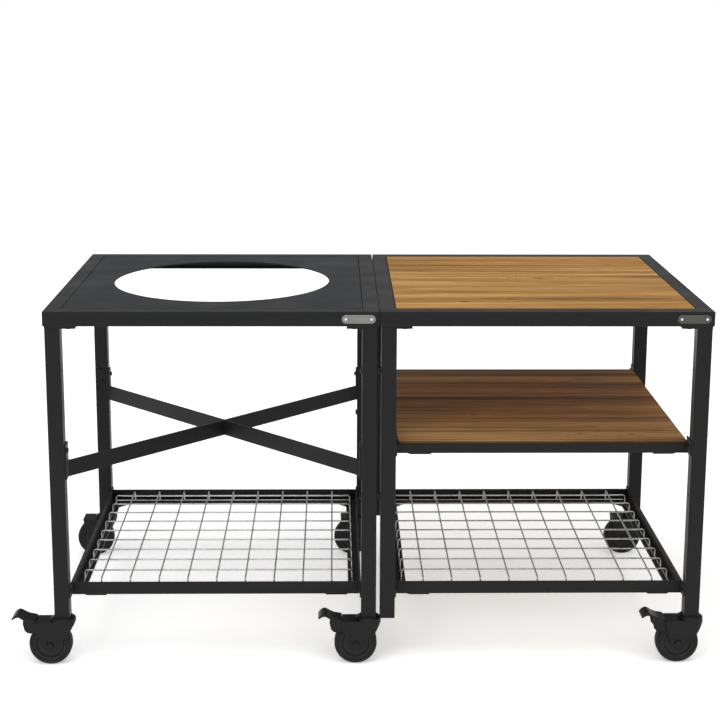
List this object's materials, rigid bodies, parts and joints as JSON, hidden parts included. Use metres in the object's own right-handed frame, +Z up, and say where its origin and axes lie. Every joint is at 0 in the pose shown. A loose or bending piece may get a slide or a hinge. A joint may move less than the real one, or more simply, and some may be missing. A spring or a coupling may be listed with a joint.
{
  "type": "modular grill table",
  "caption": "Outdoor table of square steel modules joined side by side on casters: a panel with a round opening over a crossed support, a wooden top, a wooden shelf and low wire shelves.",
  "frame": {"origin": "on the floor under the middle of the whole table's box", "axes": "+X to the right along the table, +Y from the front to the back, +Z up"},
  "size_m": [1.6254, 0.7768, 0.85],
  "materials": {
    "black_powder_coat": "fine textured black powder coat",
    "acacia_wood": "oiled hardwood staves",
    "stainless_wire": "polished drawn wire",
    "badge_steel": "brushed, bare",
    "bright_screw": "polished",
    "black_fastener": "black oxide",
    "black_plastic": "moulded",
    "caster_steel": "black painted pressed steel",
    "caster_core": "moulded",
    "caster_tyre": "smooth rubber tread"
  },
  "bodies": {
    "table": {"left_top_rim": "black_powder_coat", "right_top_rim": "black_powder_coat", "left_lower_frame": "black_powder_coat", "right_lower_frame": "black_powder_coat", "right_shelf_frame": "black_powder_coat", "left_support_bar_lower": "black_powder_coat", "left_support_bar_upper": "black_powder_coat", "left_leg_front_left": "black_powder_coat", "left_leg_front_right": "black_powder_coat", "left_leg_rear_left": "black_powder_coat", "left_leg_rear_right": "black_powder_coat", "right_leg_front_left": "black_powder_coat", "right_leg_front_right": "black_powder_coat", "right_leg_rear_left": "black_powder_coat", "right_leg_rear_right": "black_powder_coat", "left_badge_plate": "badge_steel", "right_badge_plate": "badge_steel", "badge_screws": "bright_screw", "top_bolts": "black_fastener", "m8_nuts": "black_fastener", "frame_bolts": "black_fastener", "m6_nuts": "black_fastener", "joining_bolts": "black_fastener", "joining_spacers": "black_fastener", "leg_stem_inserts": "black_fastener", "leg_end_caps": "black_plastic", "caster_stems": "caster_steel"},
    "caster_front_left_swivel": {"caster_front_left_fork": "caster_steel", "caster_front_left_axle": "caster_steel"},
    "caster_front_left_roller": {"caster_front_left_wheel": "caster_core", "caster_front_left_tyre": "caster_tyre"},
    "caster_front_left_pedal": {"caster_front_left_pedal": "caster_steel"},
    "caster_front_middle_swivel": {"caster_front_middle_fork": "caster_steel", "caster_front_middle_axle": "caster_steel"},
    "caster_front_middle_roller": {"caster_front_middle_wheel": "caster_core", "caster_front_middle_tyre": "caster_tyre"},
    "caster_front_middle_pedal": {"caster_front_middle_pedal": "caster_steel"},
    "caster_front_right_swivel": {"caster_front_right_fork": "caster_steel", "caster_front_right_axle": "caster_steel"},
    "caster_front_right_roller": {"caster_front_right_wheel": "caster_core", "caster_front_right_tyre": "caster_tyre"},
    "caster_front_right_pedal": {"caster_front_right_pedal": "caster_steel"},
    "caster_rear_left_swivel": {"caster_rear_left_fork": "caster_steel", "caster_rear_left_axle": "caster_steel"},
    "caster_rear_left_roller": {"caster_rear_left_wheel": "caster_core", "caster_rear_left_tyre": "caster_tyre"},
    "caster_rear_middle_swivel": {"caster_rear_middle_fork": "caster_steel", "caster_rear_middle_axle": "caster_steel"},
    "caster_rear_middle_roller": {"caster_rear_middle_wheel": "caster_core", "caster_rear_middle_tyre": "caster_tyre"},
    "caster_rear_right_swivel": {"caster_rear_right_fork": "caster_steel", "caster_rear_right_axle": "caster_steel"},
    "caster_rear_right_roller": {"caster_rear_right_wheel": "caster_core", "caster_rear_right_tyre": "caster_tyre"},
    "left_top_panel": {"left_top_panel": "black_powder_coat"},
    "right_top_board": {"right_top_board": "acacia_wood"},
    "right_shelf_board": {"right_shelf_board": "acacia_wood"},
    "left_wire_shelf": {"left_wire_shelf": "stainless_wire"},
    "right_wire_shelf": {"right_wire_shelf": "stainless_wire"}
  },
  "joints": [
    {"name": "caster_front_left_swivel", "type": "hinge", "parent": "table", "child": "caster_front_left_swivel", "pos_m": [-0.69475, -0.359, 0.11], "axis": [0, 0, 1], "continuous": true},
    {"name": "caster_front_left_roll", "type": "hinge", "parent": "caster_front_left_swivel", "child": "caster_front_left_roller", "pos_m": [-0.72475, -0.359, 0.05], "axis": [0, 1, 0], "continuous": true},
    {"name": "caster_front_left_brake", "type": "hinge", "parent": "caster_front_left_swivel", "child": "caster_front_left_pedal", "pos_m": [-0.74675, -0.359, 0.092], "axis": [0, -1, 0], "range_deg": [0, 7]},
    {"name": "caster_front_middle_swivel", "type": "hinge", "parent": "table", "child": "caster_front_middle_swivel", "pos_m": [0.02225, -0.359, 0.11], "axis": [0, 0, 1], "continuous": true},
    {"name": "caster_front_middle_roll", "type": "hinge", "parent": "caster_front_middle_swivel", "child": "caster_front_middle_roller", "pos_m": [-0.00775, -0.359, 0.05], "axis": [0, 1, 0], "continuous": true},
    {"name": "caster_front_middle_brake", "type": "hinge", "parent": "caster_front_middle_swivel", "child": "caster_front_middle_pedal", "pos_m": [-0.02975, -0.359, 0.092], "axis": [0, -1, 0], "range_deg": [0, 7]},
    {"name": "caster_front_right_swivel", "type": "hinge", "parent": "table", "child": "caster_front_right_swivel", "pos_m": [0.78325, -0.359, 0.11], "axis": [0, 0, 1], "continuous": true},
    {"name": "caster_front_right_roll", "type": "hinge", "parent": "caster_front_right_swivel", "child": "caster_front_right_roller", "pos_m": [0.75325, -0.359, 0.05], "axis": [0, 1, 0], "continuous": true},
    {"name": "caster_front_right_brake", "type": "hinge", "parent": "caster_front_right_swivel", "child": "caster_front_right_pedal", "pos_m": [0.73125, -0.359, 0.092], "axis": [0, -1, 0], "range_deg": [0, 7]},
    {"name": "caster_rear_left_swivel", "type": "hinge", "parent": "table", "child": "caster_rear_left_swivel", "pos_m": [-0.69475, 0.359, 0.11], "axis": [0, 0, 1], "continuous": true},
    {"name": "caster_rear_left_roll", "type": "hinge", "parent": "caster_rear_left_swivel", "child": "caster_rear_left_roller", "pos_m": [-0.72475, 0.359, 0.05], "axis": [0, 1, 0], "continuous": true},
    {"name": "caster_rear_middle_swivel", "type": "hinge", "parent": "table", "child": "caster_rear_middle_swivel", "pos_m": [0.02225, 0.359, 0.11], "axis": [0, 0, 1], "continuous": true},
    {"name": "caster_rear_middle_roll", "type": "hinge", "parent": "caster_rear_middle_swivel", "child": "caster_rear_middle_roller", "pos_m": [-0.00775, 0.359, 0.05], "axis": [0, 1, 0], "continuous": true},
    {"name": "caster_rear_right_swivel", "type": "hinge", "parent": "table", "child": "caster_rear_right_swivel", "pos_m": [0.78325, 0.359, 0.11], "axis": [0, 0, 1], "continuous": true},
    {"name": "caster_rear_right_roll", "type": "hinge", "parent": "caster_rear_right_swivel", "child": "caster_rear_right_roller", "pos_m": [0.75325, 0.359, 0.05], "axis": [0, 1, 0], "continuous": true},
    {"name": "top_panel_lift", "type": "slide", "parent": "table", "child": "left_top_panel", "axis": [0, 0, 1], "range_m": [0, 0.12]},
    {"name": "top_board_lift", "type": "slide", "parent": "table", "child": "right_top_board", "axis": [0, 0, 1], "range_m": [0, 0.12]},
    {"name": "shelf_board_lift", "type": "slide", "parent": "table", "child": "right_shelf_board", "axis": [0, 0, 1], "range_m": [0, 0.12]},
    {"name": "left_wire_shelf_lift", "type": "slide", "parent": "table", "child": "left_wire_shelf", "axis": [0, 0, 1], "range_m": [0, 0.12]},
    {"name": "right_wire_shelf_lift", "type": "slide", "parent": "table", "child": "right_wire_shelf", "axis": [0, 0, 1], "range_m": [0, 0.12]}
  ]
}
